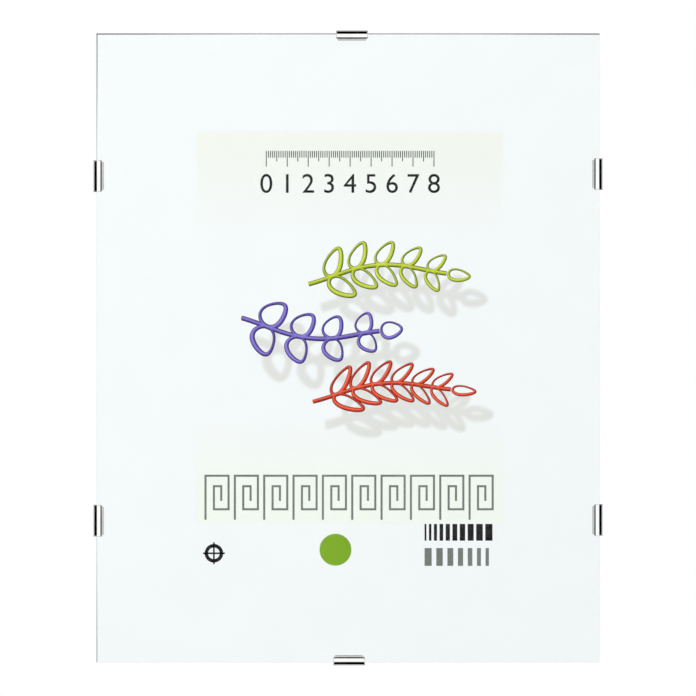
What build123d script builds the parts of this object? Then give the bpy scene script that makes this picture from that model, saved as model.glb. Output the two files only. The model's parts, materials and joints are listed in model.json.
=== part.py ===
from build123d import *
from math import cos, radians, sin
import os

os.makedirs("parts", exist_ok=True)

# A frameless clip frame, upright as it hangs and seen from the front: X runs right, Z runs up
# and the front faces -Y. The plane Y = 0 is the wall that the clips' rear legs lie against.
# The origin is the centre of the top clip's nail eye, on the wall. Sizes are in millimetres.

# Glass pane
glass_width = 240
glass_height = 300
glass_thickness = 2
glass_corner = 0.5
glass_arris = 0.2

# Printed insert, a sheet of card a little smaller than the glass, that has slipped down to
# the foot of the frame
insert_thickness = 0.2
insert_side_gap = 0.2
insert_foot_gap = 0.1
insert_head_gap = 0.5
print_gap = 0.05

# Backing board, with a slot for the tongue of each clip
board_thickness = 2.5
board_edge_break = 0.2
slot_width = 15
slot_length = 3
slot_corner = 0.5

# Spring clips, each bent from one strip
strip = 0.5
clip_width = 15
clip_clearance = 0.1
bend = 0.3
nail_room = 2.2

# Arch over the glass edge, and the lip that presses on the glass
arch_reach = 1.5
arch_rise = 1.4
arch_radius = 2.5
lip_lap = 3.5
lip_slope = 50
lip_corner_depth = 0.9
lip_corner_width = 1
flare_slope = 40
flare_run = 0.1

# Side wall and heel
wall_lean = 13
heel_radius = 1.5

# Rear leg with its keyhole eye, and the tongue that hooks into the board
eye_inset = 9
eye_radius = 3
eye_rim = 1.2
nail_slot_radius = 1.5
nail_slot_reach = 4.5
leg_slope = 35
rest_run = 0.6
tongue_width = 10
tongue_rake = 15
tongue_bite = 1.8

# Distance between the two clips of a long edge
side_spacing = 165

# Overrun of the cuts past the clip's sides
overrun = 1

# How far each clip stands to the right of, or above, the middle of its slot, as a share of
# the sideways play that its tongue has there
clip_shift_shares = {
    "clip_top": 0.76,
    "clip_bottom": 0.22,
    "clip_left_upper": -0.22,
    "clip_left_lower": 0.02,
    "clip_right_upper": 0.16,
    "clip_right_lower": 0.15,
}

insert_width = glass_width - 2 * insert_side_gap
insert_height = glass_height - insert_foot_gap - insert_head_gap

# Depths in front of the wall
board_rear = strip + nail_room
board_front = board_rear + board_thickness
insert_front = board_front + insert_thickness
glass_rear = insert_front + print_gap
glass_front = glass_rear + glass_thickness
arch_top = glass_front + arch_rise

# Middle of the board, so that the top clip's eye comes to the origin
tongue_play = (slot_width - tongue_width) / 2
middle_x = -tongue_play * clip_shift_shares["clip_top"]
middle_z = eye_inset - glass_height / 2

right = Vector(1, 0, 0)
up = Vector(0, 0, 1)
forward = Vector(0, -1, 0)
middle = right * middle_x + up * middle_z

# For each clip: the way out over its edge, how far that edge is from the middle, the way
# along the edge, and the nominal place along it
clip_places = {
    "clip_top": (up, glass_height / 2, right, 0),
    "clip_bottom": (-up, glass_height / 2, right, 0),
    "clip_left_upper": (-right, glass_width / 2, up, side_spacing / 2),
    "clip_left_lower": (-right, glass_width / 2, up, -side_spacing / 2),
    "clip_right_upper": (right, glass_width / 2, up, side_spacing / 2),
    "clip_right_lower": (right, glass_width / 2, up, -side_spacing / 2),
}


def edge_planes(name, shift_share):
    """The face plane and the section plane at a clip's place on the edge of the glass.

    Both have X pointing out over the edge. The face plane is the wall, with Z forward; the
    section plane cuts across the edge, with Y forward.
    """
    out, reach, along, place = clip_places[name]
    origin = middle + out * reach + along * (place + tongue_play * shift_share)
    return Plane(origin, out, forward), Plane(origin, out, out.cross(forward))


def front_plane(depth):
    """A plane parallel to the wall, centred on the board, with X right and Y up."""
    return Plane(middle + forward * depth, right, forward)


# The clip's outline is its outer face, walked from the lip's end over the arch and down to
# the tongue's tip. Each step is a straight run and the bend that follows it: run, radius of
# the outer face, turn in degrees (left is positive). Where two opposite bends take the strip
# from one level to another, weave is the sum of their radii.
turn_radius = bend + strip
weave = turn_radius + bend
lip_fall = arch_rise - clip_clearance - strip - weave * (1 - cos(radians(lip_slope)))
lip_run = lip_fall / sin(radians(lip_slope))
lip_reach = weave * sin(radians(lip_slope)) + lip_run * cos(radians(lip_slope))
flare_reach = turn_radius * sin(radians(flare_slope)) + flare_run * cos(radians(flare_slope))
top_run = lip_lap - flare_reach - lip_reach + arch_reach - arch_radius

wall_top = arch_top - arch_radius * (1 + sin(radians(wall_lean)))
wall_run = (wall_top - heel_radius * (1 - sin(radians(wall_lean)))) / cos(radians(wall_lean))
heel_start = arch_reach - (arch_radius + heel_radius) * (1 - cos(radians(wall_lean))) - heel_radius
heel_end = heel_start - wall_run * sin(radians(wall_lean))
eye_end = -eye_inset - eye_radius - eye_rim
flat_run = heel_end - eye_end

leg_rise = nail_room - clip_clearance - weave * (1 - cos(radians(leg_slope)))
leg_run = leg_rise / sin(radians(leg_slope))
throat = eye_end - weave * sin(radians(leg_slope)) - leg_run * cos(radians(leg_slope)) - rest_run
tongue_rise = tongue_bite + clip_clearance + strip - turn_radius * (1 - sin(radians(tongue_rake)))
tongue_run = tongue_rise / cos(radians(tongue_rake))

clip_steps = [
    (flare_run, bend, flare_slope + lip_slope),
    (lip_run, turn_radius, -lip_slope),
    (top_run, arch_radius, -90 - wall_lean),
    (wall_run, heel_radius, wall_lean - 90),
    (flat_run, turn_radius, -leg_slope),
    (leg_run, bend, leg_slope),
    (rest_run, turn_radius, tongue_rake - 90),
]

# The clip rolls on the rounded underside of its lip, so its axis is the centre of that bend
swing_out = flare_reach - lip_lap
swing_depth = glass_front + clip_clearance + turn_radius
lip_end = (
    swing_out - bend * sin(radians(flare_slope)) - flare_run * cos(radians(flare_slope)),
    swing_depth - bend * cos(radians(flare_slope)) + flare_run * sin(radians(flare_slope)),
)


# Glass pane: rounded corners and ground arrises
with BuildPart() as glass_pane:
    with BuildSketch(front_plane(glass_rear)):
        RectangleRounded(glass_width, glass_height, glass_corner)
    extrude(amount=glass_thickness)
    chamfer(glass_pane.faces().sort_by(Axis.Y)[0].edges(), glass_arris)
    chamfer(glass_pane.faces().sort_by(Axis.Y)[-1].edges(), glass_arris)
glass_pane.part.label = "glass_pane"
export_step(glass_pane.part, "parts/glass_pane.step")


# Printed insert: lies flat on the board
with BuildPart() as printed_insert:
    with BuildSketch(front_plane(board_front)):
        with Locations((0, (insert_foot_gap - insert_head_gap) / 2)):
            Rectangle(insert_width, insert_height)
    extrude(amount=insert_thickness)
printed_insert.part.label = "printed_insert"
export_step(printed_insert.part, "parts/printed_insert.step")


# Backing board: edges broken at the rear, one slot through it for each clip
with BuildPart() as backing_board:
    with BuildSketch(front_plane(board_rear)):
        Rectangle(glass_width, glass_height)
    extrude(amount=board_thickness)
    chamfer(backing_board.faces().sort_by(Axis.Y)[-1].edges(), board_edge_break)
    for name in clip_places:
        slot_face, _ = edge_planes(name, 0)
        with BuildSketch(slot_face.offset(board_rear)):
            with Locations((throat - slot_length / 2, 0)):
                RectangleRounded(slot_length, slot_width, slot_corner)
        extrude(amount=board_thickness, mode=Mode.SUBTRACT)
backing_board.part.label = "backing_board"
export_step(backing_board.part, "parts/backing_board.step")


def spring_clip(name):
    """One clip in its place: a bent strip with a keyhole eye, a tongue and a cornered lip."""
    face, section = edge_planes(name, clip_shift_shares[name])
    with BuildPart() as clip:
        with BuildSketch(section):
            with BuildLine():
                point = lip_end
                heading = -flare_slope
                for run, radius, turn in clip_steps:
                    straight = PolarLine(point, run, heading)
                    curve = JernArc(straight @ 1, straight % 1, radius, turn)
                    point = curve @ 1
                    heading += turn
                PolarLine(point, tongue_run, heading)
                offset(amount=strip, side=Side.RIGHT)
            make_face()
        extrude(amount=clip_width / 2, both=True)

        # Keyhole: the head of a nail passes the eye, and its shank seats in the narrow end
        with BuildSketch(face):
            with Locations((-eye_inset, 0)):
                Circle(eye_radius)
            with Locations((nail_slot_reach / 2 - eye_inset, 0)):
                SlotCenterToCenter(nail_slot_reach, 2 * nail_slot_radius)
        extrude(amount=board_rear, mode=Mode.SUBTRACT)

        # The leg narrows to its tongue at the slot
        with BuildSketch(face):
            with Locations((throat - slot_length / 2, 0)):
                Rectangle(slot_length, clip_width + 2 * overrun)
                Rectangle(slot_length, tongue_width, mode=Mode.SUBTRACT)
        extrude(amount=board_front, mode=Mode.SUBTRACT)

        # The corners of the lip's free end are cut off
        with BuildSketch(face.offset(glass_front)):
            for side in (1, -1):
                side_edge = side * clip_width / 2
                with BuildLine():
                    Polyline(
                        (-lip_lap, side_edge),
                        (lip_corner_depth - lip_lap, side_edge),
                        (-lip_lap, side_edge - side * lip_corner_width),
                        close=True,
                    )
                make_face()
        extrude(amount=arch_rise, mode=Mode.SUBTRACT)
    clip.part.label = name
    return clip.part


# Six clips: two on each long edge and one on each short edge
for name in clip_places:
    export_step(spring_clip(name), f"parts/{name}.step")
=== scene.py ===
# %% [markdown]
# # A frameless clip frame
# A clip frame is a sandwich of glass, a printed sheet and hardboard, pinched together by bent
# spring clips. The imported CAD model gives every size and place. This script keeps the glass and
# the board and gives them their finishes, and it makes the clips, the sheet and its print again
# with the detail that a camera sees.

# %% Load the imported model
import json
from math import asin, cos, pi, radians, sin

import bmesh
import bpy
from mathutils import Matrix, Vector


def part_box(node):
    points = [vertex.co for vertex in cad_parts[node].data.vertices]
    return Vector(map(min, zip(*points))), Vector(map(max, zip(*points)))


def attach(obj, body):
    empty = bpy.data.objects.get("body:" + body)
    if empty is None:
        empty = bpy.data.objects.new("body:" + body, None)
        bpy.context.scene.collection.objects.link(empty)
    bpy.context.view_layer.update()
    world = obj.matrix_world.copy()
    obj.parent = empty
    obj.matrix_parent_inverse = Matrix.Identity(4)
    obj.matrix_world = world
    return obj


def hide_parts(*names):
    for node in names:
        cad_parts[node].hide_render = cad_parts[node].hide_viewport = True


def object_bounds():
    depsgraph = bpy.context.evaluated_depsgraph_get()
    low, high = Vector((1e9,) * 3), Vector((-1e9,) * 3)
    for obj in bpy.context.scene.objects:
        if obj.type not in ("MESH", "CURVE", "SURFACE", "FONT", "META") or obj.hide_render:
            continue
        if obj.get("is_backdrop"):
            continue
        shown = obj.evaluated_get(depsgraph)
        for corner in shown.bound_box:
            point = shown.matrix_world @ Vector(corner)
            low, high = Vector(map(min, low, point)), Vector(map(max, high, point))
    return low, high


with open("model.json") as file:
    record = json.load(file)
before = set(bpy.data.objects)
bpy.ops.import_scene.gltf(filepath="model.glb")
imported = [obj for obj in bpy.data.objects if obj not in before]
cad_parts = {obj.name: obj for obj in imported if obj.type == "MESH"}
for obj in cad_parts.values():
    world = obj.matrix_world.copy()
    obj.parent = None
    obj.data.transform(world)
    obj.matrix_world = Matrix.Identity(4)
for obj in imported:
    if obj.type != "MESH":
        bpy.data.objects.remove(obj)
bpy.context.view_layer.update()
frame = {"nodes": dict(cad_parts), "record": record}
mm = 0.001
pane_low, pane_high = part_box("glass_pane")
sheet_low, sheet_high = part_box("printed_insert")
middle = (pane_low + pane_high) / 2
half_pane = (pane_high - pane_low) / 2


def in_mm(length):
    """A length of the frame in millimetres, to the micrometre."""
    return round(length / mm, 3)


print("glass in mm:", [in_mm(v) for v in pane_high - pane_low])

# %% [markdown]
# ## Wiring nodes
# Finishes and Geometry Nodes trees are both node trees, and both are tedious to wire by hand.
# One helper fills a node's sockets, each with a plain value or with a wire from another node's
# output, and two more add a node. Short helpers on top of them name the nodes that come back all
# the time, so the rest of the script reads like a list of steps.

# %% Helpers that wire nodes
def fill(tree, node, sockets):
    """Fills sockets of a node; each takes a plain value, or the output that is wired to it."""
    for socket, value in sockets.items():
        if isinstance(value, bpy.types.NodeSocket):
            tree.links.new(value, node.inputs[socket])
        else:
            node.inputs[socket].default_value = value


def add(tree, kind, sockets=None, **options):
    """Adds a node, sets its options and fills its sockets."""
    made = tree.nodes.new(kind)
    for option, value in options.items():
        setattr(made, option, value)
    fill(tree, made, sockets or {})
    return made


def wire(tree, kind, sockets=None, **options):
    """Adds a node and gives its first output, ready to be wired on."""
    return add(tree, kind, sockets, **options).outputs[0]


def calc(tree, operation, *values):
    """The result of one Math node."""
    return wire(tree, "ShaderNodeMath", dict(enumerate(values)), operation=operation)


def away(tree, value, centre):
    """How far a value is from a centre, on either side."""
    return calc(tree, "ABSOLUTE", calc(tree, "SUBTRACT", value, centre))


def ease(tree, value, start, end, low=0.0, high=1.0):
    """Eases from low to high as the value goes from start to end."""
    sockets = {"Value": value, "From Min": start, "From Max": end, "To Min": low, "To Max": high}
    return wire(tree, "ShaderNodeMapRange", sockets, interpolation_type="SMOOTHSTEP")


def split(tree, place):
    """The three parts of a place or a direction."""
    return add(tree, "ShaderNodeSeparateXYZ", {0: place}).outputs


def place_from(tree, x=0.0, y=0.0, z=0.0):
    """A place or a direction from its three parts."""
    return wire(tree, "ShaderNodeCombineXYZ", {0: x, 1: y, 2: z})


# %% Helpers for finishes
def tint(tree, share, first, second):
    """Mixes two colours."""
    return add(tree, "ShaderNodeMix", {0: share, 6: first, 7: second}, data_type="RGBA").outputs[2]


def noise(tree, place, scale, detail=2.0, roughness=0.5):
    """A soft noise that runs from about 0.3 to 0.7."""
    sockets = {"Vector": place, "Scale": scale, "Detail": detail, "Roughness": roughness}
    return wire(tree, "ShaderNodeTexNoise", sockets)


def stretched(tree, place, scale, turn=(0, 0, 0)):
    """A place stretched and turned, which stretches and turns the pattern laid on it."""
    return wire(tree, "ShaderNodeMapping", {"Vector": place, "Scale": scale, "Rotation": turn})


def bumped(tree, height, strength, distance):
    """The way that the surface faces once it has a relief."""
    sockets = {"Height": height, "Strength": strength, "Distance": distance}
    return wire(tree, "ShaderNodeBump", sockets)


def mix_shaders(tree, share, first, second):
    """Mixes two shaders."""
    return wire(tree, "ShaderNodeMixShader", {0: share, 1: first, 2: second})


def object_place(tree):
    """The place on the piece in metres, which moves with the piece."""
    return add(tree, "ShaderNodeTexCoord").outputs["Object"]


def object_normal(tree):
    """The way the surface faces, which turns with the piece."""
    return add(tree, "ShaderNodeTexCoord").outputs["Normal"]


def new_finish(name):
    """A material with its node tree and its Principled shader."""
    material = bpy.data.materials.new(name)
    material.use_nodes = True
    return material, material.node_tree, material.node_tree.nodes["Principled BSDF"]


def coat_node(name, material):
    """Gives a CAD piece its finish."""
    coats = frame["nodes"][name].data.materials
    coats.clear()
    coats.append(material)


# %% [markdown]
# ## Effects that finishes share
# The clips and the glass both carry faint smudges, the clips also hairline scratches, and the
# card, the inks and the hardboard are all pressed fibre. Each effect is one node group that every
# finish reuses with its own scale, so that a change to the effect reaches all of them.

# %% A builder for node groups
def new_effect(name, results):
    """A shader node group that reads a place and a scale and puts out the named values."""
    tree = bpy.data.node_groups.new(name, "ShaderNodeTree")
    tree.interface.new_socket("Place", in_out="INPUT", socket_type="NodeSocketVector")
    tree.interface.new_socket("Scale", in_out="INPUT", socket_type="NodeSocketFloat")
    for title in results:
        tree.interface.new_socket(title, in_out="OUTPUT", socket_type="NodeSocketFloat")
    return tree, tree.nodes.new("NodeGroupInput").outputs, tree.nodes.new("NodeGroupOutput").inputs


def use_effect(tree, effect, place, scale):
    """Places an effect in a finish."""
    return add(tree, "ShaderNodeGroup", {"Place": place, "Scale": scale}, node_tree=effect).outputs


# %% [markdown]
# A scratch is where a stretched noise crosses its middle value, which gives long thin lines. Three
# layers run in three directions, and a broad second noise keeps them to patches.

# %% Hairline scratches and smudges
scratches, given, result = new_effect("hairline_scratches", ["Scratch", "Smudge"])
mark = 0.0
for turn, stretch in ((0.15, 14), (-0.5, 9), (1.3, 11)):
    lines = stretched(scratches, given["Place"], (1, stretch, stretch), (turn, 0.4 * turn, turn))
    off_line = away(scratches, noise(scratches, lines, given["Scale"], 3), 0.5)
    mark = calc(scratches, "MAXIMUM", mark, ease(scratches, off_line, 0.006, 0.0))
patch = noise(scratches, given["Place"], calc(scratches, "MULTIPLY", given["Scale"], 0.12), 2)
in_patch = ease(scratches, patch, 0.45, 0.7)
scratches.links.new(calc(scratches, "MULTIPLY", mark, in_patch), result["Scratch"])
scratches.links.new(ease(scratches, patch, 0.35, 0.65), result["Smudge"])
print("effect", scratches.name, "with", len(scratches.nodes), "nodes")

# %% [markdown]
# Pressed fibre is the same noise stretched in three directions in the sheet's plane, of which the
# highest shows, as the top fibre does. A slow noise adds clouds of colour.

# %% Pressed fibre
fibre, given, result = new_effect("pressed_fibre", ["Fleck", "Cloud", "Height"])
height = 0.0
for turn in (0.3, 1.4, 2.5):
    lines = stretched(fibre, given["Place"], (1, 1, 5), (0, turn, 0))
    height = calc(fibre, "MAXIMUM", height, noise(fibre, lines, given["Scale"], 4, 0.6))
cloud = noise(fibre, given["Place"], calc(fibre, "MULTIPLY", given["Scale"], 0.03), 3)
fibre.links.new(ease(fibre, height, 0.62, 0.8), result["Fleck"])
fibre.links.new(ease(fibre, cloud, 0.3, 0.7), result["Cloud"])
fibre.links.new(height, result["Height"])
print("effect", fibre.name, "with", len(fibre.nodes), "nodes")

# %% [markdown]
# ## Glass
# The pane is clear float glass of 2 mm, with ground edges that look green because light travels
# a long way inside them. Volume Absorption gives that green by depth, so the front stays clear.
# The front reflects very little, as in the photograph, where the black ink stays black: its
# mirror tint is dark, and a fine etch blurs what is left. The CAD pane has few and large
# triangles, so a normal blended between their corners would bend the front's reflections. Inside
# the ground arris, the normal is therefore set square to the pane.

# %% The pane's faces and ground arrises
glass, tree, shader = new_finish("clear_glass")
ground_from, ground_full = 0.13 * mm, 0.08 * mm
place = object_place(tree)
x, _, z = split(tree, place)
to_side = calc(tree, "SUBTRACT", half_pane.x, away(tree, x, middle.x))
to_end = calc(tree, "SUBTRACT", half_pane.z, away(tree, z, middle.z))
ground = ease(tree, calc(tree, "MINIMUM", to_side, to_end), ground_from, ground_full)
wear = use_effect(tree, scratches, place, 180)
etched = calc(tree, "MULTIPLY_ADD", wear["Smudge"], 0.02, 0.03)
slope = object_normal(tree)
facing = split(tree, slope)[1]
square = place_from(tree, y=calc(tree, "SIGN", facing))
normal = add(tree, "ShaderNodeMix", {0: ground, 4: square, 5: slope}, data_type="VECTOR").outputs[1]
options = {"vector_type": "NORMAL", "convert_from": "OBJECT", "convert_to": "WORLD"}
surface = {
    "Base Color": tint(tree, ground, (1, 1, 1, 1), (0.86, 1, 0.95, 1)),
    "Roughness": calc(tree, "MULTIPLY_ADD", ground, 0.25, etched),
    "Normal": wire(tree, "ShaderNodeVectorTransform", {0: normal}, **options),
    "IOR": 1.5,
    "Transmission Weight": 1,
    "Specular Tint": (0.06, 0.06, 0.06, 1),
}
fill(tree, shader, surface)
print("the glass is ground from", in_mm(ground_from), "mm inside its edge")

# %% [markdown]
# The rim gathers light from the whole pane, but a path tracer loses most of the light that is
# trapped between two faces, and the rim would look black. So the rim gives off a little of the
# green that it would gather, on its outside only. The pane would also shade the sheet behind it,
# so for lamp and scattered rays it is mixed with a Transparent shader.

# %% The pane's green rim and the light through it
at_rim = ease(tree, calc(tree, "ABSOLUTE", facing), 0.4, 0.2)
from_inside = add(tree, "ShaderNodeNewGeometry").outputs["Backfacing"]
gathered = calc(tree, "MULTIPLY", at_rim, calc(tree, "SUBTRACT", 1, from_inside))
rim_green = tint(tree, gathered, (0, 0, 0, 1), (0.04, 0.115, 0.088, 1))
fill(tree, shader, {"Emission Color": rim_green, "Emission Strength": 1})
path = add(tree, "ShaderNodeLightPath").outputs
clear = wire(tree, "ShaderNodeBsdfTransparent")
lets_through = calc(tree, "MAXIMUM", path["Is Shadow Ray"], path["Is Diffuse Ray"])
both = mix_shaders(tree, lets_through, shader.outputs[0], clear)
inside = wire(tree, "ShaderNodeVolumeAbsorption", {"Color": (0.25, 0.75, 0.6, 1), "Density": 7})
fill(tree, tree.nodes["Material Output"], {"Surface": both, "Volume": inside})
coat_node("glass_pane", glass)
print("finish", glass.name, "with", len(tree.nodes), "nodes")

# %% [markdown]
# ## Hardboard
# The back is a sheet of hardboard: wet wood fibre, pressed hot between a polished plate and a
# wire screen. Its front has a smooth skin, coloured here a near-black grey that is partly the
# skin's own colour and partly painted shade for the narrow gap above the sheet, the one place
# where it shows. Its rear keeps the screen's weave, and its cut edges are fuzzy and a little
# lighter. Separate materials would need the CAD mesh to be changed, so one finish tells the three
# apart by the way the surface faces.

# %% Finish of the hardboard
hardboard, tree, shader = new_finish("hardboard")
screen_pitch = 1.7 * mm
place = object_place(tree)
x, _, z = split(tree, place)
facing = split(tree, object_normal(tree))[1]
at_rear = ease(tree, facing, 0.5, 0.8)
at_front = ease(tree, facing, -0.5, -0.8)
at_edge = calc(tree, "SUBTRACT", 1, ease(tree, calc(tree, "ABSOLUTE", facing), 0.5, 0.8))
grain = use_effect(tree, fibre, place, 900)
waves = [calc(tree, "SINE", calc(tree, "MULTIPLY", way, 2 * pi / screen_pitch)) for way in (x, z)]
weave = calc(tree, "MULTIPLY", *waves)
dent = calc(tree, "MULTIPLY", ease(tree, weave, -0.2, 0.7), at_rear)
brown = tint(tree, grain["Cloud"], (0.255, 0.13, 0.062, 1), (0.295, 0.155, 0.076, 1))
flecked = tint(tree, calc(tree, "MULTIPLY", grain["Fleck"], 0.55), brown, (0.46, 0.29, 0.16, 1))
rear = tint(tree, calc(tree, "MULTIPLY", dent, 0.35), flecked, (0.16, 0.078, 0.036, 1))
# Painted shade: the front skin's dark grey also stands for the shade in the gap above the sheet.
skin_and_gap_shade = tint(tree, grain["Cloud"], (0.085, 0.078, 0.072, 1), (0.115, 0.105, 0.096, 1))
layers = noise(tree, stretched(tree, place, (1, 12, 1)), 700, 3, 0.7)
cut = tint(tree, layers, (0.20, 0.105, 0.05, 1), (0.50, 0.31, 0.17, 1))
pressed = calc(tree, "SUBTRACT", grain["Height"], calc(tree, "MULTIPLY", dent, 1.4))
fuzz = calc(tree, "MULTIPLY", calc(tree, "MULTIPLY", layers, at_edge), 2)
surface = {
    "Base Color": tint(tree, at_edge, tint(tree, at_front, rear, skin_and_gap_shade), cut),
    "Roughness": ease(tree, at_rear, 0, 1, 0.55, 0.85),
    "Normal": bumped(tree, calc(tree, "ADD", pressed, fuzz), 0.6, 0.15 * mm),
}
fill(tree, shader, surface)
coat_node("backing_board", hardboard)
print("the screen's weave repeats every", in_mm(screen_pitch), "mm")

# %% [markdown]
# ## Geometry Nodes helpers
# A Geometry Nodes tree is a small machine: its named inputs are its dials. `new_tree` makes the
# tree with its dials, and `grow` fits it to an object and sets each dial by the identifier of its
# socket. `plain_mesh` then gives the finished mesh, with no modifier left.

# %% Helpers for Geometry Nodes
def new_tree(name, dials):
    """A Geometry Nodes tree, the sockets that it reads, and the socket that it ends in."""
    tree = bpy.data.node_groups.new(name, "GeometryNodeTree")
    for title, kind in {"Geometry": "Geometry", **dials, "Finish": "Material"}.items():
        tree.interface.new_socket(title, in_out="INPUT", socket_type="NodeSocket" + kind)
    tree.interface.new_socket("Geometry", in_out="OUTPUT", socket_type="NodeSocketGeometry")
    given = tree.nodes.new("NodeGroupInput").outputs
    realize = tree.nodes.new("GeometryNodeRealizeInstances")
    sockets = {"Geometry": realize.outputs[0], "Material": given["Finish"]}
    add(tree, "NodeGroupOutput", {0: wire(tree, "GeometryNodeSetMaterial", sockets)})
    return tree, given, realize.inputs[0]


def shape_of(tree, thing):
    """The geometry of the object on a dial."""
    return add(tree, "GeometryNodeObjectInfo", {"Object": thing}).outputs["Geometry"]


def workpiece(name, data):
    """An object in the scene that holds some mesh or curve while it is worked on."""
    made = bpy.data.objects.new(name, data)
    bpy.context.scene.collection.objects.link(made)
    return made


def grow(source, tree, dials):
    """Fits the tree to the object and turns its dials."""
    fitted = source.modifiers.new(tree.name, "NODES")
    fitted.node_group = tree
    for socket in tree.interface.items_tree:
        if socket.in_out == "INPUT" and socket.name in dials:
            fitted[socket.identifier] = dials[socket.name]
    return source


def plain_mesh(source):
    """The mesh of an object with its modifiers applied; the object itself is removed."""
    graph = bpy.context.evaluated_depsgraph_get()
    grown = source.evaluated_get(graph)
    mesh = bpy.data.meshes.new_from_object(grown, preserve_all_data_layers=True, depsgraph=graph)
    bpy.data.objects.remove(source)
    return mesh


# %% [markdown]
# ## The clip's dimensions
# The frame says where the board's rear, the glass's front, the clip's arch and its nail eye are.
# The slopes, bends and runs are the clip's own, as on the CAD clip, and the run of each slope
# follows from the height that it has to climb. All are in millimetres, because Blender's tools
# lose precision on pieces that are a fraction of a millimetre.

# %% Sizes from the frame, and the clip's own
clip_low, clip_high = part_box("clip_top")
eye_mount = next(m for m in frame["record"]["mounts"] if m["name"] == "nail_eye_top")
eye_radius = eye_mount["dims"]["r_mm"]
eye_inset = in_mm(pane_high.z - eye_mount["pos_m"][2])
half_width = in_mm((clip_high.x - clip_low.x) / 2)
arch_reach = in_mm(clip_high.z - pane_high.z)
arch_top = in_mm(-clip_low.y)
glass_front = in_mm(-pane_low.y)
board_rear = in_mm(-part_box("backing_board")[1].y)

strip = 0.5
clearance = 0.1
inner_bend = 0.3
outer_bend = inner_bend + strip
arch_radius = 2.5
heel_radius = 1.5
lip_lap = 3.5
lip_slope = radians(50)
flare_slope = radians(40)
flare_run = 0.1
wall_lean = radians(13)
eye_rim = 1.2
nail_slot_radius = 1.5
nail_slot_reach = 4.5
leg_slope = radians(35)
rest_run = 0.6
half_tongue = 5
tongue_rake = radians(15)
tongue_bite = 1.8
print("a clip is", 2 * half_width, "mm wide and its arch stands", arch_top, "mm off the wall")

# %% Runs between the bends
two_bends = outer_bend + inner_bend
lip_fall = arch_top - glass_front - clearance - strip - two_bends * (1 - cos(lip_slope))
lip_run = lip_fall / sin(lip_slope)
lip_reach = two_bends * sin(lip_slope) + lip_run * cos(lip_slope)
flare_reach = outer_bend * sin(flare_slope) + flare_run * cos(flare_slope)
top_run = lip_lap - flare_reach - lip_reach + arch_reach - arch_radius
wall_height = arch_top - arch_radius * (1 + sin(wall_lean)) - heel_radius * (1 - sin(wall_lean))
wall_run = wall_height / cos(wall_lean)
wall_shift = (arch_radius + heel_radius) * (1 - cos(wall_lean)) + wall_run * sin(wall_lean)
heel_end = arch_reach - wall_shift - heel_radius
flat_run = heel_end + eye_inset + eye_radius + eye_rim
leg_rise = board_rear - strip - clearance - two_bends * (1 - cos(leg_slope))
leg_run = leg_rise / sin(leg_slope)
tongue_rise = tongue_bite + clearance + strip - outer_bend * (1 - sin(tongue_rake))
tongue_run = tongue_rise / cos(tongue_rake)
print("side wall", round(wall_run, 2), "mm, rear flat", round(flat_run, 2), "mm")

# %% [markdown]
# ## The clip's section
# A clip is stamped flat and then bent over formers, one bend after the other: the lip that
# presses on the glass, the arch over its edge, the side wall, the heel, the rear leg, and the
# tongue that hooks into the board. The section is walked in the same way: a straight run, then
# the bend after it. Its points say where each length of the strip ends up.

# %% Walk the clip's section
section_steps = {  # straight run, radius of the outer face, turn to the left
    "flare": (flare_run, inner_bend, flare_slope + lip_slope),
    "lip": (lip_run, outer_bend, -lip_slope),
    "top": (top_run, arch_radius, -pi / 2 - wall_lean),
    "wall": (wall_run, heel_radius, wall_lean - pi / 2),
    "flat": (flat_run, outer_bend, -leg_slope),
    "leg": (leg_run, inner_bend, leg_slope),
    "rest": (rest_run, outer_bend, tongue_rake - pi / 2),
    "tongue": (tongue_run, 0, 0),
}
bend_facet = radians(5)
lip_end_out = flare_reach - lip_lap - inner_bend * sin(flare_slope) - flare_run * cos(flare_slope)
flare_rise = outer_bend - inner_bend * cos(flare_slope) + flare_run * sin(flare_slope)
place = Vector((lip_end_out, 0, glass_front + clearance + flare_rise))
heading, length = -flare_slope, 0
section, stations, run_starts = [place], [0], {}
for name, (run, radius, turn) in section_steps.items():
    run_starts[name] = length
    way = Vector((cos(heading), 0, sin(heading)))
    place = place + way * run
    length += run
    section.append(place)
    stations.append(length)
    side = 1 if turn > 0 else -1
    hub = place + side * radius * Vector((-way.z, 0, way.x))
    facets = round(abs(turn) / bend_facet)
    for _ in range(facets):
        heading += turn / facets
        place = hub + side * radius * Vector((sin(heading), 0, -cos(heading)))
        length += radius * abs(turn) / facets
        section.append(place)
        stations.append(length)
print("the strip is", round(length, 2), "mm long and has", len(stations), "stations")

# %% [markdown]
# ## The flat blank
# The blank is the strip before bending: a rectangle with two cut corners at the lip, a keyhole
# for the nail, and a narrower tongue. A filled outline has too few points to bend, so it is cut
# across at every station of the section. Bending a ready solid could be done too, but a flat
# sheet is easier to cut, and it gets its thickness later.

# %% Outline of the blank
corner_depth, corner_width = 0.85, 0.9
neck = run_starts["rest"] + rest_run
eye = run_starts["flat"] + heel_end + eye_inset
eye_mouth = asin(nail_slot_radius / eye_radius)


def arc(along, radius, start, end, steps):
    """Points round part of a circle whose centre lies on the strip's middle line."""
    angles = [start + (end - start) * i / steps for i in range(steps + 1)]
    return [(along + radius * cos(angle), radius * sin(angle)) for angle in angles]


one_side = [
    (0, half_width - corner_width),
    (corner_depth, half_width),
    (neck, half_width),
    (neck, half_tongue),
    (length, half_tongue),
]
edge = [(along, -across) for along, across in one_side] + one_side[::-1]
keyhole = arc(eye, eye_radius, pi - eye_mouth, eye_mouth - pi, steps=48)
keyhole += arc(eye - nail_slot_reach, nail_slot_radius, -pi / 2, -3 * pi / 2, steps=24)
print("the nail eye is", round(eye, 2), "mm from the lip's end, along the strip")


# %% Cut the blank
def mesh_from(build, name):
    """A mesh of what was built in bmesh, which is freed."""
    mesh = bpy.data.meshes.new(name)
    build.to_mesh(mesh)
    build.free()
    return mesh


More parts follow.
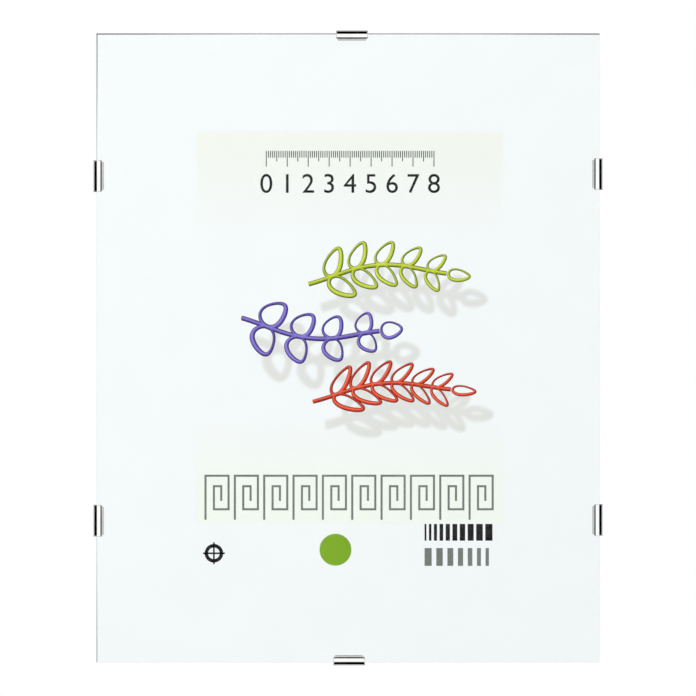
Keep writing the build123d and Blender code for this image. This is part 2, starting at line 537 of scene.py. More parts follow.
same_place = 1e-5
stamping = bmesh.new()
for outline in (edge, keyhole):
    corners = [stamping.verts.new((along, across, 0)) for along, across in outline]
    for i, corner in enumerate(corners):
        stamping.edges.new((corner, corners[i - 1]))
bmesh.ops.triangle_fill(stamping, edges=stamping.edges[:], use_beauty=True, normal=(0, 0, 1))
for station in stations[1:-1]:
    everything = stamping.verts[:] + stamping.edges[:] + stamping.faces[:]
    cut_at = {"plane_co": (station, 0, 0), "plane_no": (1, 0, 0)}
    bmesh.ops.bisect_plane(stamping, geom=everything, dist=same_place, **cut_at)
for face in stamping.faces:
    if face.normal.z < 0:
        face.normal_flip()
blank = mesh_from(stamping, "clip_blank")
print("the blank has", len(blank.polygons), "faces")

# %% [markdown]
# ## Clip metal
# The clips are spring steel with a bright nickel plating. It mirrors the studio, so its stripes
# of white, black and grey come from what stands around it and not from paint. Rolling has left
# fine lines along the strip, and shearing has left its edges dull. Both follow a place that each
# clip stores on its own surface before it is bent, in millimetres along and across the strip.

# %% Finish of the clips
nickel, tree, shader = new_finish("bright_nickel")
sheared_from, sheared_full = half_width - 0.17, half_width - 0.1
strip_place = add(tree, "ShaderNodeAttribute", attribute_name="strip_place").outputs["Vector"]
wear = use_effect(tree, scratches, strip_place, 0.6)
rolled = noise(tree, stretched(tree, strip_place, (0.15, 9, 1)), 1, 3)
plating = tint(tree, wear["Smudge"], (0.72, 0.722, 0.712, 1), (0.76, 0.762, 0.75, 1))
worn = tint(tree, wear["Scratch"], plating, (0.6, 0.598, 0.585, 1))
sheared = ease(tree, calc(tree, "ABSOLUTE", split(tree, strip_place)[1]), sheared_from, sheared_full)
rolled_rough = ease(tree, rolled, 0.3, 0.7, 0.04, 0.11)
rough = calc(tree, "MULTIPLY_ADD", wear["Scratch"], 0.15, rolled_rough)
surface = {
    "Base Color": tint(tree, sheared, worn, (0.22, 0.218, 0.21, 1)),
    "Roughness": calc(tree, "MULTIPLY_ADD", sheared, 0.2, rough),
    "Normal": bumped(tree, rolled, 0.12, 0.01 * mm),
    "Metallic": 1,
}
fill(tree, shader, surface)
print("finish", nickel.name, "with", len(tree.nodes), "nodes")

# %% [markdown]
# ## Bending
# The tree slides every point of the blank along the section: the point's place along the strip
# picks a place on the section curve, and its place across the strip is kept. A Curve modifier
# bends too, but it stretches the blank at tight bends, and it can't store the flat place first.
# Solidify then gives the strip its thickness on the inner side, and a small bevel eases the
# sheared edges.

# %% The bending tree
bending, given, last = new_tree("bend_strip", {"Section": "Object"})
flat = wire(bending, "GeometryNodeInputPosition")
options = {"data_type": "FLOAT_VECTOR", "domain": "POINT"}
sockets = {"Geometry": given["Geometry"], "Name": "strip_place", "Value": flat}
kept = wire(bending, "GeometryNodeStoreNamedAttribute", sockets, **options)
along, across, _ = split(bending, flat)
sockets = {"Curves": shape_of(bending, given["Section"]), "Length": along}
sample = add(bending, "GeometryNodeSampleCurve", sockets, mode="LENGTH")
out, _, forward = split(bending, sample.outputs["Position"])
bent = place_from(bending, out, across, forward)
moved = wire(bending, "GeometryNodeSetPosition", {"Geometry": kept, "Position": bent})
bending.links.new(moved, last)
print("bending tree with", len(bending.nodes), "nodes")

# %% Bend the strip and give it its thickness
former = bpy.data.curves.new("section", "CURVE")
former.dimensions = "3D"
line = former.splines.new("POLY")
line.points.add(len(section) - 1)
for point, place in zip(line.points, section):
    point.co = (*place, 1)
former_piece = workpiece("section", former)
strip_piece = grow(workpiece("bent_strip", blank), bending, {"Section": former_piece, "Finish": nickel})
wall = strip_piece.modifiers.new("thickness", "SOLIDIFY")
wall.thickness, wall.offset, wall.use_even_offset = strip, -1, True
eased = strip_piece.modifiers.new("sheared_edges", "BEVEL")
eased.width, eased.segments = 0.12, 3
eased.limit_method, eased.angle_limit = "ANGLE", radians(50)
strip_mesh = plain_mesh(strip_piece)
bpy.data.objects.remove(former_piece)
for face in strip_mesh.polygons:
    face.use_smooth = True
strip_mesh.set_sharp_from_angle(angle=radians(32))
print("the bent strip has", len(strip_mesh.polygons), "faces")

# %% [markdown]
# ## Six clips
# All six clips are the same strip. Each is set on its edge of the glass, at the place that its
# CAD clip has, and rides on that clip's body, so that it swings off in the poses. The photograph
# shows no shade beside the clips, so they cast none.

# %% Set the clips
def make_piece(name, mesh, body):
    """A finished piece at the origin, on its body."""
    made = workpiece(name, mesh)
    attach(made, body)
    return made


forward = Vector((0, -1, 0))
outward = {
    "clip_top": (0, 0, 1),
    "clip_bottom": (0, 0, -1),
    "clip_left_upper": (-1, 0, 0),
    "clip_left_lower": (-1, 0, 0),
    "clip_right_upper": (1, 0, 0),
    "clip_right_lower": (1, 0, 0),
}
for name, way in outward.items():
    out = Vector(way)
    low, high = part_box(name)
    along_edge = Vector((abs(out.z), 0, abs(out.x)))
    reach = abs(out.x) * half_pane.x + abs(out.z) * half_pane.z
    origin = Vector((middle.x, 0, middle.z)) + out * reach
    origin += along_edge * ((low + high) / 2 - origin).dot(along_edge)
    turn = Matrix((out, forward.cross(out), forward)).transposed().to_4x4()
    clip_mesh = strip_mesh.copy()
    clip_mesh.transform(Matrix.Translation(origin) @ turn @ Matrix.Scale(mm, 4))
    clip = make_piece("spring_" + name, clip_mesh, name)
    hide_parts(name)
    clip.visible_diffuse = clip.visible_shadow = False
    cad_size, size = ([in_mm(v) for v in dimensions] for dimensions in (high - low, clip.dimensions))
    print(name, "CAD size in mm", cad_size, "piece size", size)

# %% [markdown]
# ## The printed sheet's card
# The sheet is coated card, almost white, with a faint cool cast. It carries a broad, barely
# tinted rectangle that fades out in the middle of the page, and soft printed shadows under the
# coloured ornaments. An image could hold all that, but it would blur close up. So the rectangle
# comes from the place on the page, and the shadows from an attribute that the sheet stores.

# %% Page coordinates and the card's finish
page_to_frame = Matrix.Translation((middle.x, sheet_low.y, middle.z)) @ Matrix(
    ((mm, 0, 0, 0), (0, 0, -mm, 0), (0, mm, 0, 0), (0, 0, 0, 1))
)
card_fibre = 1500
panel_middle, panel_half, panel_blur = (0.9, 9.9), (73, 93.4), 0.4
fade_start, fade_end = 35, 93

card, tree, shader = new_finish("coated_card")
x, _, z = split(tree, object_place(tree))
across = calc(tree, "DIVIDE", calc(tree, "SUBTRACT", x, middle.x), mm)
up = calc(tree, "DIVIDE", calc(tree, "SUBTRACT", z, middle.z), mm)
pulp = use_effect(tree, fibre, object_place(tree), card_fibre)
white = tint(tree, pulp["Cloud"], (0.94, 0.965, 0.978, 1), (0.952, 0.975, 0.985, 1))
from_middle = away(tree, across, panel_middle[0]), away(tree, up, panel_middle[1])
in_panel = ease(tree, from_middle[1], fade_start, fade_end)
for distance, half in zip(from_middle, panel_half):
    inside = ease(tree, distance, half + panel_blur, half - panel_blur)
    in_panel = calc(tree, "MULTIPLY", in_panel, inside)
cream = tint(tree, ease(tree, up, -60, 60), (0.935, 0.975, 0.89, 1), (0.925, 0.945, 0.885, 1))
panelled = tint(tree, in_panel, white, cream)
shade = add(tree, "ShaderNodeAttribute", attribute_name="shade").outputs["Fac"]
shadowed = tint(tree, calc(tree, "MULTIPLY", shade, 0.6), panelled, (0.66, 0.65, 0.60, 1))
relief = bumped(tree, pulp["Height"], 0.08, 0.02 * mm)
fill(tree, shader, {"Base Color": shadowed, "Roughness": 0.5, "Normal": relief})
print("finish", card.name, "with", len(tree.nodes), "nodes")

# %% [markdown]
# ## Inks
# The ink is a film on the card, a little glossier than the paper, and slightly uneven where the
# fibres show through. All inks share one recipe and differ only in colour.

# %% Mix the inks
def mix_ink(name, colour):
    """An ink of one colour, a little lighter where it is thin and where a fibre shows."""
    ink, tree, shader = new_finish(name)
    pulp = use_effect(tree, fibre, object_place(tree), card_fibre)
    thin = tuple(min(1, 1.12 * part + 0.004) for part in colour)
    film = tint(tree, pulp["Cloud"], (*colour, 1), (*thin, 1))
    bare = calc(tree, "MULTIPLY", pulp["Fleck"], 0.06)
    uneven = tint(tree, bare, film, (0.9, 0.9, 0.9, 1))
    fill(tree, shader, {"Base Color": uneven, "Roughness": 0.42, "Specular IOR Level": 0.2})
    return ink


ink_colours = {
    "black": (0.004, 0.004, 0.004),
    "grey": (0.17, 0.19, 0.175),
    "green": (0.40, 0.50, 0.012),
    "green_dark": (0.06, 0.10, 0.004),
    "green_light": (0.60, 0.68, 0.06),
    "violet": (0.11, 0.065, 0.40),
    "violet_dark": (0.018, 0.01, 0.09),
    "violet_light": (0.24, 0.19, 0.62),
    "red": (0.62, 0.03, 0.008),
    "red_dark": (0.14, 0.008, 0.004),
    "red_light": (0.85, 0.12, 0.05),
    "leaf": (0.19, 0.38, 0.009),
}
inks = {name: mix_ink("ink_" + name, colour) for name, colour in ink_colours.items()}
print("inks:", ", ".join(inks))

# %% [markdown]
# ## Strokes and plates
# Every printed shape is a closed plate on the card, under two hundredths of a millimetre thick,
# so it stays sharp however close the camera comes. `ribbon` draws a stroke: it follows a line of
# points, with its own width at each, and mitres the corners. The shapes are drawn in page
# coordinates, in millimetres, and `print_shape` lays them on the sheet.

# %% A stroke along a line of points
film = 0.016
pressed_in = 0.004
mitre_limit = 0.35


def ribbon(name, points, widths, closed=False):
    """A closed plate along a line of points."""
    count = len(points)
    plate = bmesh.new()
    rows = []
    for i, (point, width) in enumerate(zip(points, widths)):
        ways = []
        for start, end in ((i - 1, i), (i, i + 1)):
            if closed or 0 <= start and end < count:
                ways.append((Vector(points[end % count]) - Vector(points[start])).normalized())
        way_in, way_out = ways[0], ways[-1]
        normal = Vector((-way_in.y - way_out.y, way_in.x + way_out.x)).normalized()
        mitre = 1 / max(mitre_limit, normal.dot(Vector((-way_in.y, way_in.x))))
        shift = normal * width / 2 * mitre
        left, right = Vector(point) + shift, Vector(point) - shift
        corners = [(*left, 0), (*right, 0), (*right, film), (*left, film)]
        rows.append([plate.verts.new(corner) for corner in corners])
    for i in range(count if closed else count - 1):
        here, there = rows[i], rows[(i + 1) % count]
        for k in range(4):
            plate.faces.new((here[k], here[(k + 1) % 4], there[(k + 1) % 4], there[k]))
    if not closed:
        plate.faces.new(rows[0][::-1])
        plate.faces.new(rows[-1])
    bmesh.ops.recalc_face_normals(plate, faces=plate.faces[:])
    return mesh_from(plate, name)


# %% Lay a shape on the sheet
def on_page(across, up, turn=0, lift=0):
    """The move that takes a shape to its place on the page; the turn is in degrees."""
    return Matrix.Translation((across, up, lift)) @ Matrix.Rotation(radians(turn), 4, "Z")


def print_shape(name, mesh, across, up, level=0, turn=0):
    """Lays a shape on the sheet; a higher level lies on top of a lower one."""
    lift = level * film * 0.6 - pressed_in
    mesh.transform(page_to_frame @ on_page(across, up, turn, lift))
    made = make_piece(name, mesh, "panel")
    print(name, "is", in_mm(made.dimensions.x), "by", in_mm(made.dimensions.z), "mm")


# %% [markdown]
# ## A centimetre scale
# The top of the page carries a plain scale, because a frame's sheet tells its size. Its
# lines are one unit bar, placed by Geometry Nodes along a line: each tenth bar is long, each
# fifth one is of middle length, and the rest are short. An Array modifier could repeat the bar,
# but it couldn't tell the tenth from the ninth.

# %% Helpers for rows of shapes
def row_of_places(tree, count, pitch):
    """Places in a row, a pitch apart."""
    return wire(tree, "GeometryNodeMeshLine", {"Count": count, "Offset": place_from(tree, pitch)})


def unit_bar(tree, middle_up):
    """A bar of 1 by 1 by 1 on the card, with its middle at that height on the page."""
    cube = wire(tree, "GeometryNodeMeshCube", {"Size": (1, 1, 1)})
    sockets = {"Geometry": cube, "Translation": (0, middle_up, 0.5)}
    return wire(tree, "GeometryNodeTransform", sockets)


def copies(tree, places, thing, settings=None):
    """A copy of the thing at each place."""
    sockets = {"Points": places, "Instance": thing, **(settings or {})}
    return wire(tree, "GeometryNodeInstanceOnPoints", sockets)


def choose(tree, share, first, second):
    """The first number where the share is 0, and the second where it is 1."""
    return wire(tree, "ShaderNodeMix", {0: share, 2: first, 3: second}, data_type="FLOAT")


def every(tree, index, count):
    """1 at each place whose number is a multiple of the count, and 0 elsewhere."""
    return calc(tree, "COMPARE", calc(tree, "MODULO", index, count), 0, 0.5)


# %% The scale's lines
scale_place, scale_pitch, centimetres = (-39, 94), 1.0, 8
floats = dict.fromkeys(["Pitch", "Width", "Short", "Middle", "Long"], "Float")
tree, given, last = new_tree("scale_lines", {"Count": "Int", **floats})
index = wire(tree, "GeometryNodeInputIndex")
minor = choose(tree, every(tree, index, 5), given["Short"], given["Middle"])
tall = choose(tree, every(tree, index, 10), minor, given["Long"])
size = place_from(tree, given["Width"], tall, film)
places = row_of_places(tree, given["Count"], given["Pitch"])
lines = copies(tree, places, unit_bar(tree, -0.5), {"Scale": size})
tree.links.new(lines, last)
dials = {"Count": 10 * centimetres + 1, "Pitch": scale_pitch, "Finish": inks["black"]}
dials |= {"Width": 0.42, "Short": 3.2, "Middle": 5.0, "Long": 7.5}
source = grow(workpiece("scale", bpy.data.meshes.new("scale")), tree, dials)
print_shape("scale_lines", plain_mesh(source), *scale_place)

# %% The scale's numbers
number_size, number_foot = 13, -20
numbers = bmesh.new()
for number in range(centimetres + 1):
    text = bpy.data.curves.new("number", "FONT")
    text.body, text.size, text.extrude = str(number), number_size, film / 2
    text.align_x, text.align_y = "CENTER", "TOP_BASELINE"
    figure = plain_mesh(workpiece("number", text))
    figure.transform(Matrix.Translation((10 * scale_pitch * number, number_foot, film / 2)))
    numbers.from_mesh(figure)
    bpy.data.meshes.remove(figure)
figures = mesh_from(numbers, "scale_numbers")
figures.materials.append(inks["black"])
print_shape("scale_numbers", figures, *scale_place)

# %% [markdown]
# ## Leaf sprigs
# Three sprigs are the page's coloured ornaments. Each is a curved stem with pairs of outlined
# leaves, and Geometry Nodes place the leaves: points along the stem, one leaf to each side,
# turned from the stem's own direction and smaller towards the tip, and one more leaf at the tip.

# %% The sprig tree's leaves
floats = dict.fromkeys(["Spread", "Tip share", "Stem width"], "Float")
sprig_tree, given, last = new_tree("leaf_sprig", {"Leaf": "Object", "Pairs": "Int", **floats})
leaf = shape_of(sprig_tree, given["Leaf"])
sockets = {"Curve": given["Geometry"], "Start": 0.14, "End": 0.86}
leafy = wire(sprig_tree, "GeometryNodeTrimCurve", sockets)
sockets = {"Curve": leafy, "Count": given["Pairs"]}
points = add(sprig_tree, "GeometryNodeCurveToPoints", sockets, mode="COUNT").outputs
index = wire(sprig_tree, "GeometryNodeInputIndex")
toward_tip = calc(sprig_tree, "DIVIDE", index, calc(sprig_tree, "SUBTRACT", given["Pairs"], 1))
leaf_size = choose(sprig_tree, toward_tip, 1.0, given["Tip share"])


def along_way(tree, way):
    """The turn that points a leaf along a way."""
    return wire(tree, "FunctionNodeAlignRotationToVector", {"Vector": way}, axis="X")


grown = []
for side, thick in ((1, 1), (-1, 0.9)):
    spread = place_from(sprig_tree, z=calc(sprig_tree, "MULTIPLY", given["Spread"], side))
    sockets = {0: along_way(sprig_tree, points["Tangent"]), 1: spread}
    turned = wire(sprig_tree, "FunctionNodeRotateRotation", sockets, rotation_space="LOCAL")
    settings = {"Rotation": turned, "Scale": place_from(sprig_tree, leaf_size, leaf_size, thick)}
    grown.append(copies(sprig_tree, points[0], leaf, settings))
at_tip = wire(sprig_tree, "GeometryNodeCurveEndpointSelection", {"Start Size": 0, "End Size": 1})
tip_turn = along_way(sprig_tree, wire(sprig_tree, "GeometryNodeInputTangent"))
settings = {"Selection": at_tip, "Rotation": tip_turn, "Scale": given["Tip share"]}
grown.append(copies(sprig_tree, given["Geometry"], leaf, settings))
print("leaves hang on the tree by", len(sprig_tree.nodes), "nodes")

# %% The sprig tree's stem
upright = wire(sprig_tree, "GeometryNodeSetCurveNormal", {"Curve": given["Geometry"]}, mode="Z_UP")
share = add(sprig_tree, "GeometryNodeSplineParameter").outputs["Factor"]
sockets = {"Curve": upright, "Radius": ease(sprig_tree, share, 0, 1, 1, 0.45)}
tapered = wire(sprig_tree, "GeometryNodeSetCurveRadius", sockets)
sockets = {"Width": given["Stem width"], "Height": film}
profile = wire(sprig_tree, "GeometryNodeCurvePrimitiveQuadrilateral", sockets)
sockets = {"Curve": tapered, "Profile Curve": profile, "Fill Caps": True}
stem = wire(sprig_tree, "GeometryNodeCurveToMesh", sockets)
x, y, z = split(sprig_tree, wire(sprig_tree, "GeometryNodeInputPosition"))
top_or_base = calc(sprig_tree, "MULTIPLY", calc(sprig_tree, "GREATER_THAN", z, 0), 0.8 * film)
sockets = {"Geometry": stem, "Position": place_from(sprig_tree, x, y, top_or_base)}
flat_stem = wire(sprig_tree, "GeometryNodeSetPosition", sockets)
joined = sprig_tree.nodes.new("GeometryNodeJoinGeometry")
for part in (flat_stem, *grown):
    sprig_tree.links.new(part, joined.inputs[0])
sprig_tree.links.new(joined.outputs[0], last)
print("sprig tree with", len(sprig_tree.nodes), "nodes")

# %% [markdown]
# Each sprig is printed three times, each time a little further up and to the left: first wide
# in a dark ink, then in the bright one, which leaves a dark rim, and last thin in a light ink,
# as a gleam.

# %% Draw a leaf and a stem
def leaf_outline(size, width, stroke, extra):
    """The outline of one leaf, thick on its lower side and thin above, widened by the extra."""
    stalk, thinnest, corners = 1.2, 0.12, 40
    points, widths = [], []
    for i in range(corners):
        angle = 2 * pi * i / corners
        across = width / 2 * sin(angle) * (1 + 0.3 * cos(angle))
        points.append((stalk + size * (1 - cos(angle)) / 2, across))
        widths.append(max(thinnest, stroke * (1 - 0.5 * sin(angle)) + extra))
    return ribbon("leaf", points, widths, closed=True)


def stem_curve(bow):
    """A stem 66 mm long that bows up or down."""
    curve = bpy.data.curves.new("stem", "CURVE")
    curve.dimensions, curve.resolution_u = "3D", 16
    spline = curve.splines.new("BEZIER")
    spline.bezier_points.add(2)
    stops = (-36, -0.55 * bow), (-2, 0.45 * bow), (30, -0.2 * bow)
    for point, (x, y) in zip(spline.bezier_points, stops):
        point.co = (x, y, 0)
        point.handle_left_type = point.handle_right_type = "AUTO"
    return curve


# %% Grow the sprigs
sprigs = {  # pairs, spread, leaf size and width, stroke, bow, place across and up, turn
    "green": (5, 50, 14, 7, 1.1, 8, 17, 36, 2),
    "violet": (4, 58, 13.5, 10, 1.2, -8, -15, 8, -3),
    "red": (6, 40, 15, 5.6, 1.0, 7, 19, -20, 3),
}
passes = (("_rim", 0.75, "_dark"), ("", 0, ""), ("_gleam", -0.72, "_light"))
pass_shift = 0.16
ornaments = bmesh.new()
for colour, (pairs, spread, size, width, stroke, bow, across, up, turn) in sprigs.items():
    for level, (suffix, extra, tone) in enumerate(passes):
        leaf_piece = workpiece("leaf", leaf_outline(size, width, stroke, extra))
        dials = {
            "Leaf": leaf_piece,
            "Pairs": pairs,
            "Spread": radians(spread),
            "Tip share": 0.72,
            "Stem width": 1.3 * stroke + extra,
            "Finish": inks[colour + tone],
        }
        mesh = plain_mesh(grow(workpiece("stem", stem_curve(bow)), sprig_tree, dials))
        bpy.data.objects.remove(leaf_piece)
        if level == 0:
            stamp = mesh.copy()
            stamp.transform(on_page(across, up, turn))
            ornaments.from_mesh(stamp)
        shift = pass_shift * level
        print_shape("sprig_" + colour + suffix, mesh, across - shift, up + shift, level, turn)

# %% [markdown]
# ## The grey key band
# Below the sprigs runs a thin grey key pattern, an ornament as old as pottery. One unit of the
# key is drawn as a ribbon, and the tree repeats it in a row. An Array modifier would do as well
# here; the tree is chosen because it shares its parts with the scale's tree.

# %% The key band
key_place, key_pitch, key_stroke = (-68, -82), 14, 1.0
rise, wide, foot, inset = 21, 11, 5, 4
core = (wide + inset) / 2
key_line = [(0, 0), (0, rise), (wide, rise), (wide, foot), (inset, foot)]
key_line += [(inset, rise - foot), (core, rise - foot), (core, foot + inset)]
dials = {"Unit": "Object", "Count": "Int", "Pitch": "Float"}
tree, given, last = new_tree("key_band", dials)
places = row_of_places(tree, given["Count"], given["Pitch"])
tree.links.new(copies(tree, places, shape_of(tree, given["Unit"])), last)
key_unit = workpiece("key", ribbon("key", key_line, [key_stroke] * len(key_line)))
dials = {"Unit": key_unit, "Count": 10, "Pitch": key_pitch, "Finish": inks["grey"]}
band_mesh = plain_mesh(grow(workpiece("band", bpy.data.meshes.new("band")), tree, dials))
bpy.data.objects.remove(key_unit)
print_shape("key_band", band_mesh, *key_place)

# %% [markdown]
# ## Bars, disc and register mark
# The foot of the page has printer's marks: two rows of bars that change width step by step, a
# plain colour disc, and a round register mark with a cross. The bars are again one unit bar. A
# bar's width follows from its number in the row, and where it starts from the widths before it,
# which add up to a simple formula.

# %% The stepped bars
bars_left = 36.5
floats = dict.fromkeys(["First", "Growth", "Gap", "Height"], "Float")
tree, given, last = new_tree("stepped_bars", {"Count": "Int", **floats})
number = wire(tree, "GeometryNodeInputIndex")
wide = calc(tree, "MULTIPLY_ADD", number, given["Growth"], given["First"])
square_less_one = calc(tree, "MULTIPLY", number, calc(tree, "SUBTRACT", number, 1))
steps_before = calc(tree, "MULTIPLY", square_less_one, 0.5)
first_and_gap = calc(tree, "ADD", given["First"], given["Gap"])
even_start = calc(tree, "MULTIPLY", number, first_and_gap)
start = calc(tree, "MULTIPLY_ADD", steps_before, given["Growth"], even_start)
centre = place_from(tree, calc(tree, "MULTIPLY_ADD", wide, 0.5, start))
dots = wire(tree, "GeometryNodePoints", {"Count": given["Count"], "Position": centre})
size = place_from(tree, wide, given["Height"], film)
tree.links.new(copies(tree, dots, unit_bar(tree, 0.5), {"Scale": size}), last)
for name, up, count, first, growth, gap, height, ink in (
    ("bars_upper", -92, 10, 0.9, 0.28, 1.2, 8, "black"),
    ("bars_lower", -104, 7, 3.4, -0.3, 2.2, 8.5, "grey"),
):
    dials = {"Count": count, "First": first, "Growth": growth, "Gap": gap, "Height": height}
    dials["Finish"] = inks[ink]
    source = grow(workpiece("bars", bpy.data.meshes.new("bars")), tree, dials)
    print_shape(name, plain_mesh(source), bars_left, up)


# %% The disc and the register mark
def disc(radius, corners=72):
    """A round plate."""
    plate = bmesh.new()
    bmesh.ops.create_circle(plate, cap_ends=True, segments=corners, radius=radius)
    top = bmesh.ops.extrude_face_region(plate, geom=plate.faces[:])["geom"]
    raised = [part for part in top if isinstance(part, bmesh.types.BMVert)]
    bmesh.ops.translate(plate, verts=raised, vec=(0, 0, film))
    bmesh.ops.recalc_face_normals(plate, faces=plate.faces[:])
    return mesh_from(plate, "disc")


def ring(radius, stroke, corners=72):
    """A round stroke."""
    points = arc(0, radius, 0, 2 * pi, corners)[:-1]
    return ribbon("ring", points, [stroke] * corners, closed=True)


register_place, arm, arm_stroke = (-64, -98), 5.2, 0.8
level_bar = ribbon("bar", [(-arm, 0), (arm, 0)], [arm_stroke] * 2)
upright_bar = ribbon("bar", [(0, -arm), (0, arm)], [arm_stroke] * 2)
for name, mesh, ink, place in (
    ("colour_disc", disc(radius=7.6), "leaf", (-6, -96.3)),
    ("register_ring", ring(radius=3.6, stroke=1.7), "black", register_place),
    ("register_bar_level", level_bar, "black", register_place),
    ("register_bar_upright", upright_bar, "black", register_place),
):
    mesh.materials.append(inks[ink])
    print_shape(name, mesh, *place)

# %% [markdown]
# ## The sheet
# The card is a thin slab whose front is divided finely where the ornaments' soft shadows fall.
# The tree asks for each point how far the nearest ornament is, once the ornament is shifted down
# and to the right, and stores the answer as the sheet's `shade`. Blurred copies of the sprigs
# could lie under them instead, but a soft edge needs no plate.

# %% The tree for the printed shadows
dials = {"Ornaments": "Object", "Shift": "Vector", "Softness": "Float"}
shadow_tree, given, last = new_tree("printed_shadow", dials)
here = wire(shadow_tree, "GeometryNodeInputPosition")
sockets = {0: here, 1: given["Shift"]}
unshifted = wire(shadow_tree, "ShaderNodeVectorMath", sockets, operation="SUBTRACT")
sockets = {0: shape_of(shadow_tree, given["Ornaments"]), "Sample Position": unshifted}
near = add(shadow_tree, "GeometryNodeProximity", sockets, target_element="FACES")
soft = ease(shadow_tree, near.outputs["Distance"], given["Softness"], 0.0)
options = {"data_type": "FLOAT", "domain": "POINT"}
sockets = {"Geometry": given["Geometry"], "Name": "shade", "Value": soft}
stored = wire(shadow_tree, "GeometryNodeStoreNamedAttribute", sockets, **options)
shadow_tree.links.new(stored, last)
print("shadow tree with", len(shadow_tree.nodes), "nodes")

# %% [markdown]
# The sheet was cut by hand: the photograph shows its left and upper edges bowed by a few tenths
# of a millimetre, while the right one follows the glass.

# %% The sheet's outline
side_gap, left_bow_up, left_bow_down = 0.1, 0.38, 0.27
head_gap, head_bow = 0.4, 0.15
half_across, half_up = half_pane.x / mm, half_pane.z / mm
fine_step, fine_across, fine_up = 0.9, (-56, 72), (-50, 48)


def spaced(low, high, fine_low, fine_high, coarse=10):
    """Places from low to high that are close together only in the fine part."""
    count = round((fine_high - fine_low) / fine_step)
    before = [low + (fine_low - low) * i / coarse for i in range(coarse)]
    after = [high + (fine_high - high) * i / coarse for i in reversed(range(coarse))]
    return before + [fine_low + (fine_high - fine_low) * i / count for i in range(count + 1)] + after


def swell(value, start, end):
    """Rises smoothly from 0 to 1 as the value goes from start to end."""
    share = min(1, max(0, (value - start) / (end - start)))
    return share * share * (3 - 2 * share)


columns = spaced(*[(corner.x - middle.x) / mm for corner in (sheet_low, sheet_high)], *fine_across)
rows = spaced(*[(corner.z - middle.z) / mm for corner in (sheet_low, sheet_high)], *fine_up)


def cut_edge(x, y):
    """A point of the sheet, moved to the outline that it was cut to."""
    if y == rows[-1]:
        y = half_up - head_gap - head_bow * swell(abs(x) / half_across, 0.3, 1)
    if x == columns[0]:
        bow = left_bow_up * swell(y / half_up, 0.4, 1) + left_bow_down * swell(-y / half_up, 0.4, 1.05)
        x = side_gap - half_across + bow
    if x == columns[-1]:
        x = half_across - side_gap
    return x, y, 0


print("the sheet's front has", len(columns) - 1, "by", len(rows) - 1, "fields")

# %% Make the sheet
slab = bmesh.new()
net = [[slab.verts.new(cut_edge(x, y)) for x in columns] for y in rows]
for j in range(len(rows) - 1):
    for i in range(len(columns) - 1):
        slab.faces.new((net[j][i], net[j][i + 1], net[j + 1][i + 1], net[j + 1][i]))
rim_edges = [edge for edge in slab.edges if edge.is_boundary]
walls = bmesh.ops.extrude_edge_only(slab, edges=rim_edges)["geom"]
rear = [part for part in walls if isinstance(part, bmesh.types.BMVert)]
bmesh.ops.translate(slab, verts=rear, vec=(0, 0, -(sheet_high.y - sheet_low.y) / mm))
bmesh.ops.holes_fill(slab, edges=[edge for edge in slab.edges if edge.is_boundary], sides=0)
bmesh.ops.recalc_face_normals(slab, faces=slab.faces[:])
stamp_piece = workpiece("ornaments", mesh_from(ornaments, "ornaments"))
dials = {"Ornaments": stamp_piece, "Shift": (7.0, -11.0, 0.0), "Softness": 2.2, "Finish": card}
sheet_mesh = plain_mesh(grow(workpiece("sheet", mesh_from(slab, "sheet")), shadow_tree, dials))
bpy.data.objects.remove(stamp_piece)
sheet_mesh.transform(page_to_frame)
sheet = make_piece("printed_sheet", sheet_mesh, "panel")
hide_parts("printed_insert")
print("sheet", [in_mm(v) for v in sheet.dimensions], "mm with", len(sheet_mesh.polygons), "faces")

# %% [markdown]
# ## Studio
# The photograph was taken straight on from far away, on pure white. Bright metal is lit by what
# it mirrors, so the world has three faces: white for the camera and through the glass, an even
# soft level for scattered light, and a room of its own for reflections. That room is light grey,
# with a brighter panel round the lens. Straight above, below and beside the lens it has four
# narrow arms, each black from the panel's edge back to a grey far wall. The clips' bends lie along
# those arms and mirror them as crisp stripes, and everything else sees mostly the light grey.

# %% The room that is mirrored
world = bpy.data.worlds.new("studio")
bpy.context.scene.world = world
world.use_nodes = True
tree = world.node_tree
tree.nodes.clear()
panel_from, panel_full = 0.91, 0.925
direction = split(tree, add(tree, "ShaderNodeTexCoord").outputs["Generated"])
toward_lens = calc(tree, "MULTIPLY_ADD", direction[1], -0.5, 0.5)
arm = add(tree, "ShaderNodeValToRGB", {0: toward_lens})
stops = ((0.0, 0.51), (0.37, 0.56), (0.39, 0.0), (panel_from, 0.0), (panel_full, 1.0), (1.0, 1.0))
while len(arm.color_ramp.elements) < len(stops):
    arm.color_ramp.elements.new(0.5)
for stop, (where, level) in zip(arm.color_ramp.elements, stops):
    stop.position, stop.color = where, (level, level, level, 1)
sideways = calc(tree, "ABSOLUTE", direction[0])
upwards = calc(tree, "ABSOLUTE", direction[2])
sockets = {0: place_from(tree, sideways, upwards)}
off_axis = add(tree, "ShaderNodeVectorMath", sockets, operation="LENGTH").outputs["Value"]
straight = calc(tree, "DIVIDE", calc(tree, "MAXIMUM", sideways, upwards), off_axis)
room = tint(tree, ease(tree, straight, 0.985, 0.995), (0.62, 0.62, 0.62, 1), arm.outputs[0])
mirrored = tint(tree, ease(tree, toward_lens, panel_from, panel_full), room, (1, 1, 1, 1))
print("the mirrored room has", len(tree.nodes), "nodes")

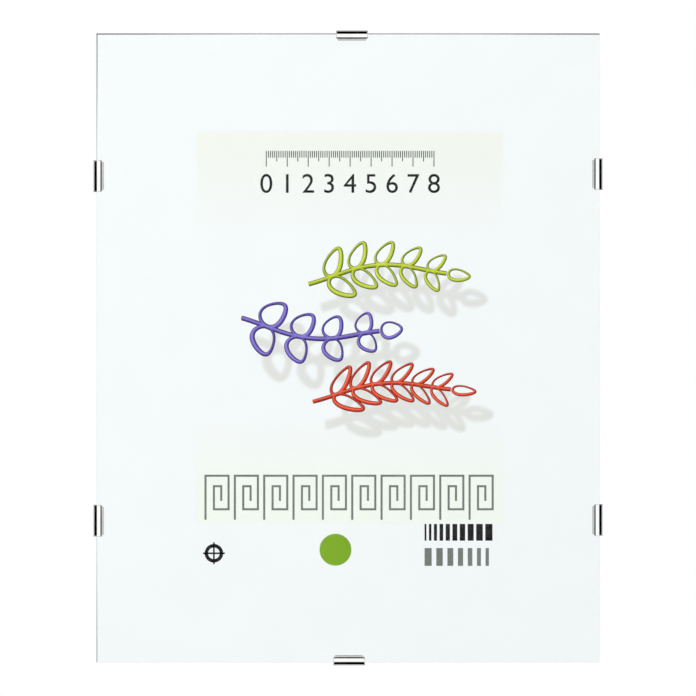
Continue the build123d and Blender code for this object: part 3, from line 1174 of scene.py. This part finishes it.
# %% The world's three faces
faces = {}
for face, colour, strength in (
    ("mirrored", mirrored, 1.35),
    ("soft", (1, 1, 1, 1), 0.66),
    ("backdrop", (1, 1, 1, 1), 1),
):
    faces[face] = wire(tree, "ShaderNodeBackground", {"Color": colour, "Strength": strength})
path = add(tree, "ShaderNodeLightPath").outputs
lit = mix_shaders(tree, path["Is Glossy Ray"], faces["soft"], faces["mirrored"])
seen = calc(tree, "MAXIMUM", path["Is Camera Ray"], path["Is Transmission Ray"])
add(tree, "ShaderNodeOutputWorld", {0: mix_shaders(tree, seen, lit, faces["backdrop"])})
world.cycles.sampling_method = "NONE"
print("the world's faces:", ", ".join(faces))

# %% [markdown]
# A large lamp at the upper left adds the light's direction. The floor lies well below the frame,
# which hangs free, so that the camera of the photograph doesn't see it. Neither shows in the
# clips, whose stripes come from the world alone.

# %% The lamp and the floor
softbox = bpy.data.lights.new("softbox", "AREA")
softbox.shape, softbox.size, softbox.energy = "SQUARE", 1.2, 24.5
lamp = workpiece("softbox", softbox)
lamp.location = middle + Vector((-0.8, -2.6, 0.85))
lamp.rotation_euler = (middle - lamp.location).to_track_quat("-Z", "Y").to_euler()
lamp.visible_glossy = False

floor_drop, floor_half = 0.5, 3
floor_z = middle.z - floor_drop
ways = ((-1, -1), (1, -1), (1, 1), (-1, 1))
corners = [(floor_half * x, floor_half * y, floor_z) for x, y in ways]
floor_mesh = bpy.data.meshes.new("floor")
floor_mesh.from_pydata(corners, [], [(0, 1, 2, 3)])
floor = workpiece("floor", floor_mesh)
pale, tree, shader = new_finish("pale_floor")
fill(tree, shader, {"Base Color": (0.93, 0.93, 0.93, 1), "Roughness": 0.9})
floor_mesh.materials.append(pale)
floor.visible_glossy = False
floor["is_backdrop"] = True
print("lamp", round((lamp.location - middle).length, 2), "m away, floor", floor_drop, "m below the middle")

# %% The camera
photo_pixels, pixels_per_mm = 696, 2.0972
aim_across, aim_up = -0.02 * mm, -0.06 * mm
far = 2.5
camera_data = bpy.data.cameras.new("camera")
camera_data.sensor_width = 36
camera_data.lens = camera_data.sensor_width * far / (photo_pixels / pixels_per_mm * mm)
camera = workpiece("camera", camera_data)
camera.location = (middle.x + aim_across, pane_low.y - far, middle.z + aim_up)
camera.rotation_euler = (radians(90), 0, 0)
bpy.context.scene.camera = camera
bpy.context.scene.view_settings.view_transform = "Standard"
print("focal length", round(camera_data.lens, 1), "mm")

# %% Measure the scene's bounds
low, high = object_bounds()
